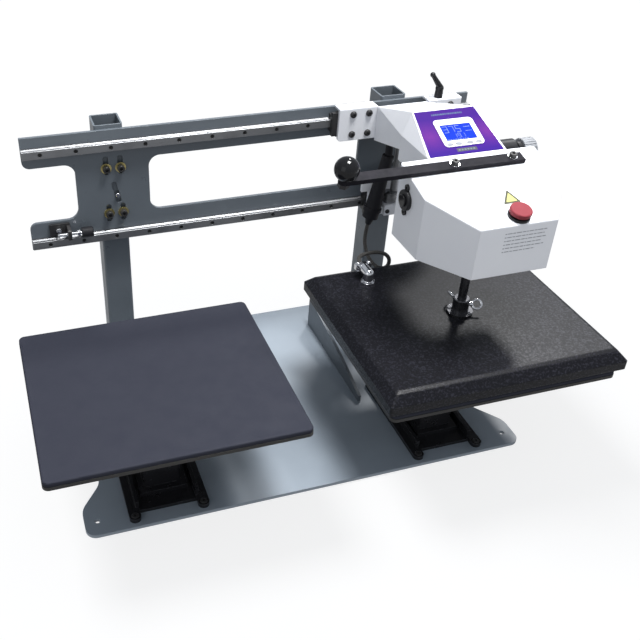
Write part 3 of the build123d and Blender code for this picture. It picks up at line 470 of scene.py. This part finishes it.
def on_panel(x, s, h):
    """x across, s up the console panel and h above it, all in mm."""
    c, n = math.cos(PANEL_RISE), math.sin(PANEL_RISE)
    return (x / 1000, HEAD_ORIGIN[0] + (s * c - h * n) / 1000, HEAD_ORIGIN[1] + (s * n + h * c) / 1000)


def on_hood(x, s, h):
    """x across, s down the hood's top and h above it, all in mm."""
    c, n = math.cos(HOOD_FALL), math.sin(HOOD_FALL)
    return (x / 1000, HEAD_ORIGIN[0] - (s * c + h * n) / 1000, HEAD_ORIGIN[1] + (h * c - s * n) / 1000)


def on_front(x, s, h):
    """x across, s up from the hood's lower edge and h out of its front face, all in mm."""
    return (x / 1000, HOOD_FRONT[0] - h / 1000, HOOD_FRONT[1] + s / 1000)


SEGMENTS = {"1": "bc", "3": "abgcd", "5": "afgcd", "7": "abc", "9": "abcdfg"}


def digit(bm, mark, x, s, w, h, t):
    """Seven-segment digit, its lower left corner at x, s."""
    lines = {"a": (x, s + h - t, x + w, s + h), "d": (x, s, x + w, s + t),
             "g": (x, s + (h - t) / 2, x + w, s + (h + t) / 2),
             "f": (x, s + h / 2, x + t, s + h - t * 0.6),
             "b": (x + w - t, s + h / 2, x + w, s + h - t * 0.6),
             "e": (x, s + t * 0.6, x + t, s + h / 2),
             "c": (x + w - t, s + t * 0.6, x + w, s + h / 2)}
    for name in SEGMENTS[mark]:
        x0, s0, x1, s1 = lines[name]
        cut = t * 0.18
        bar_of(bm, on_panel, x0 + cut, s0 + cut, x1 - cut, s1 - cut, *ON_SCREEN)


def lit_segments():
    t = Tree("lit_segments", Roughness=0.3)
    shade = t.ramp(t.noise(600.0, 2.0), 0.3, 0.7, 0.0, 1.0)
    t.set("Base Color", (0.05, 0.07, 0.10))
    t.set("Emission Color", t.mix(shade, (0.62, 0.80, 1.0), (0.45, 0.66, 1.0)))
    t.set("Emission Strength", 0.6)
    return t.mat


def ink(name, color, color2, rough=0.45):
    t = Tree(name)
    t.set("Base Color", t.mix(t.ramp(t.noise(900.0, 3.0, 0.6), 0.4, 0.65), color, color2))
    t.set("Roughness", t.ramp(t.noise(500.0, 2.0), 0.3, 0.7, rough, rough + 0.1))
    t.set("Normal", t.bump(t.noise(1600.0, 2.0), 1.0, 0.000008))
    return t.mat


def display_digits():
    """Two rows of seven-segment digits, with dashes in place of the units and the status line."""
    bm = bmesh.new()
    for k, mark in enumerate("375"):
        digit(bm, mark, x=262.5 + 11.2 * k, s=48.0, w=8.2, h=14.5, t=1.1)
    for k, mark in enumerate("191"):
        digit(bm, mark, x=275.5 + 7.6 * k, s=36.0, w=5.4, h=9.6, t=0.8)
    for s0 in (57.5, 48.5):
        for k in range(4):
            bar_of(bm, on_panel, 300.5 + 2.9 * k, s0, 302.6 + 2.9 * k, s0 + 1.0, *ON_SCREEN)
    for k in range(9):
        bar_of(bm, on_panel, 262.0 + 4.3 * k, 32.6, 264.6 + 4.3 * k, 33.6, *ON_SCREEN)
    obj = add("display_digits", bm, lit_segments(), False)
    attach(obj, "carriage")


def overlay_marks():
    """Plain printed dashes along the film's top, and a dark strip under the bezel."""
    teal = ink("teal_ink", (0.020, 0.075, 0.15), (0.022, 0.045, 0.14))
    bm = bmesh.new()
    x = 256.0
    for k in range(17):
        step = 1.5 + (k * 7 % 4) * 0.6
        bar_of(bm, on_panel, x, 88.6, x + step, 92.2, *ON_FILM, lean=0.3)
        x += step + 1.0
    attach(add("overlay_dashes", bm, teal, False), "carriage")
    strip = ink("strip_ink", (0.012, 0.014, 0.03), (0.03, 0.03, 0.05))
    bm = bmesh.new()
    bar_of(bm, on_panel, 268.0, 7.0, 304.0, 14.0, *STRIP)
    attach(add("overlay_strip", bm, strip, False), "carriage")
    pale = ink("strip_pale_ink", (0.06, 0.14, 0.16), (0.13, 0.15, 0.17))
    bm = bmesh.new()
    for k in range(6):
        bar_of(bm, on_panel, 271.0 + 5.2 * k, 9.2, 274.2 + 5.2 * k, 11.8, *ON_STRIP)
    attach(add("overlay_strip_marks", bm, pale, False), "carriage")


def hood_marks():
    """Blank triangle on the hood's top and ruled grey lines on its front, both without lettering."""
    corners = [(301.6, 93.0), (282.8, 120.7), (310.6, 120.3)]
    mx = sum(c[0] for c in corners) / 3
    ms = sum(c[1] for c in corners) / 3
    olive = ink("olive_ink", (0.030, 0.032, 0.006), (0.040, 0.042, 0.008))
    yellow = ink("yellow_ink", (0.50, 0.48, 0.14), (0.46, 0.44, 0.12))
    tip = 0.06                         # share of each side taken off at a corner
    for name, material, grow, heights in (("sign_border", olive, 1.1, SIGN_BORDER),
                                          ("sign_field", yellow, 0.70, SIGN_FIELD)):
        bm = bmesh.new()
        outline = []
        for k, (cx, cs) in enumerate(corners):
            before, after = corners[k - 1], corners[(k + 1) % 3]
            for other in (before, after):
                outline.append((mx + ((cx + (other[0] - cx) * tip) - mx) * grow,
                                ms + ((cs + (other[1] - cs) * tip) - ms) * grow))
        glyph_plate(bm, on_hood, outline, *heights)
        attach(add(name, bm, material, False), "carriage")
    grey = ink("grey_ink", (0.30, 0.31, 0.34), (0.36, 0.37, 0.40))
    bm = bmesh.new()
    for row, end in enumerate((333, 330, 334, 326, 332, 318)):
        foot = 72.0 - 6.2 * row
        x = 262.0
        k = 0
        while x < end:
            step = 3.0 + ((row * 5 + k * 3) % 5) * 1.5
            bar_of(bm, on_front, x, foot, min(x + step, end), foot + 1.5, *ON_FRONT)
            x += step + 1.3
            k += 1
    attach(add("front_lines", bm, grey, False), "carriage")


CORD_ROUTE = [(0.2365, 0.130, 0.2704), (0.2313, 0.130, 0.2415), (0.233, 0.117, 0.213), (0.240, 0.099, 0.196),
              (0.250, 0.080, 0.194), (0.257, 0.066, 0.208), (0.254, 0.059, 0.231), (0.236, 0.054, 0.249),
              (0.211, 0.052, 0.255), (0.189, 0.050, 0.254), (0.175, 0.0375, 0.253), (0.175, 0.014, 0.253)]
CORD_R = 0.0037
CORD_SIDES = 20


def heater_lead():
    """Jacketed lead from the sleeve to the elbow, a tube along a smooth curve."""
    curve = bpy.data.curves.new("route", "CURVE")
    curve.dimensions = "3D"
    curve.resolution_u = 16
    spline = curve.splines.new("NURBS")
    spline.points.add(len(CORD_ROUTE) - 1)
    for point, at in zip(spline.points, CORD_ROUTE):
        point.co = (*at, 1.0)
    spline.order_u = 3
    spline.use_endpoint_u = True
    route = bpy.data.objects.new("route", curve)
    scene.collection.objects.link(route)
    bpy.context.view_layer.update()
    line = bpy.data.meshes.new_from_object(route)
    points = [v.co.copy() for v in line.vertices]
    bpy.data.objects.remove(route)
    bpy.data.meshes.remove(line)
    bm = bmesh.new()
    rings = []
    turn = Vector((1, 0, 0))
    for k, at in enumerate(points):
        along = (points[min(k + 1, len(points) - 1)] - points[max(k - 1, 0)]).normalized()
        turn = (turn - along * turn.dot(along)).normalized()
        side = along.cross(turn)
        rings.append([bm.verts.new(at + (turn * math.cos(a) + side * math.sin(a)) * CORD_R)
                      for a in (2 * math.pi * j / CORD_SIDES for j in range(CORD_SIDES))])
    for a, b in zip(rings, rings[1:]):
        for j in range(CORD_SIDES):
            bm.faces.new((a[j], a[(j + 1) % CORD_SIDES], b[(j + 1) % CORD_SIDES], b[j]))
    bm.faces.new(rings[0])
    bm.faces.new(rings[-1][::-1])
    bmesh.ops.recalc_face_normals(bm, faces=bm.faces)
    obj = add("heater_lead", bm, jacket, True)
    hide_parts("heater_cord")
    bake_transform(obj)


heater_lead()
display_digits()
overlay_marks()
hood_marks()


# ------------------------------------------------------------------ stage and light
FLOOR_HALF, FLOOR_Z = 9.0, -0.0002
FLOOR_GLOW, FLOOR_SEEN = 0.34, 0.80    # emission as a light, and as the camera sees it
WORLD_GLOW, WORLD_SEEN = 0.46, 1.05


def stage_floor():
    """Pale seamless floor with soft shadows. It and the world are whiter to the camera than as lights."""
    bm = bmesh.new()
    bmesh.ops.create_grid(bm, x_segments=8, y_segments=8, size=FLOOR_HALF)
    for v in bm.verts:
        v.co.z = FLOOR_Z
    t = Tree("floor", Roughness=0.9)
    t.set("Base Color", t.mix(t.ramp(t.noise(1.5, 3.0), 0.3, 0.7), (0.24, 0.24, 0.24), (0.26, 0.26, 0.26)))
    t.set("Specular IOR Level", 0.05)
    t.set("Emission Color", (1.0, 1.0, 1.0))
    seen = t.node("LightPath").outputs["Is Camera Ray"]
    t.set("Emission Strength", t.ramp(seen, 0.0, 1.0, FLOOR_GLOW, FLOOR_SEEN))
    floor = add("floor", bm, t.mat, False)
    return floor


floor = stage_floor()
world = bpy.data.worlds.new("studio")
world.use_nodes = True
tree = world.node_tree
background = tree.nodes["Background"]
background.inputs["Color"].default_value = (0.86, 0.92, 1.0, 1.0)
seen = tree.nodes.new("ShaderNodeLightPath")
level = tree.nodes.new("ShaderNodeMapRange")
level.inputs["To Min"].default_value = WORLD_GLOW
level.inputs["To Max"].default_value = WORLD_SEEN
tree.links.new(seen.outputs["Is Camera Ray"], level.inputs["Value"])
tree.links.new(level.outputs[0], background.inputs["Strength"])
scene.world = world


def sun(name, towards, strength, angle):
    light = bpy.data.lights.new(name, "SUN")
    light.energy = strength
    light.angle = math.radians(angle)
    obj = bpy.data.objects.new(name, light)
    scene.collection.objects.link(obj)
    obj.rotation_euler = Vector(towards).to_track_quat("Z", "Y").to_euler()
    return obj


def area(name, at, aim, size, size_y, power):
    light = bpy.data.lights.new(name, "AREA")
    light.shape = "RECTANGLE"
    light.size, light.size_y = size, size_y
    light.energy = power
    obj = bpy.data.objects.new(name, light)
    scene.collection.objects.link(obj)
    obj.location = at
    obj.rotation_euler = (Vector(aim) - Vector(at)).to_track_quat("-Z", "Y").to_euler()
    return obj


def link_floor(light, state):
    """The floor alone takes this light, or it alone doesn't."""
    group = bpy.data.collections.new("floor_" + light.name)
    group.objects.link(floor)
    light.light_linking.receiver_collection = group
    group.collection_objects[0].light_linking.link_state = state


middle = (0.1, 0.0, 0.2)
link_floor(sun("key", towards=(0.45, 0.52, 0.73), strength=1.15, angle=8.0), "EXCLUDE")
link_floor(area("overhead", at=(0.45, -0.28, 2.70), aim=middle, size=0.9, size_y=0.8, power=100), "EXCLUDE")
link_floor(area("left_fill", at=(-1.9, -1.3, 1.3), aim=middle, size=1.6, size_y=1.6, power=5), "EXCLUDE")
link_floor(sun("floor_light", towards=(-0.30, 0.42, 0.86), strength=1.6, angle=22.0), "INCLUDE")
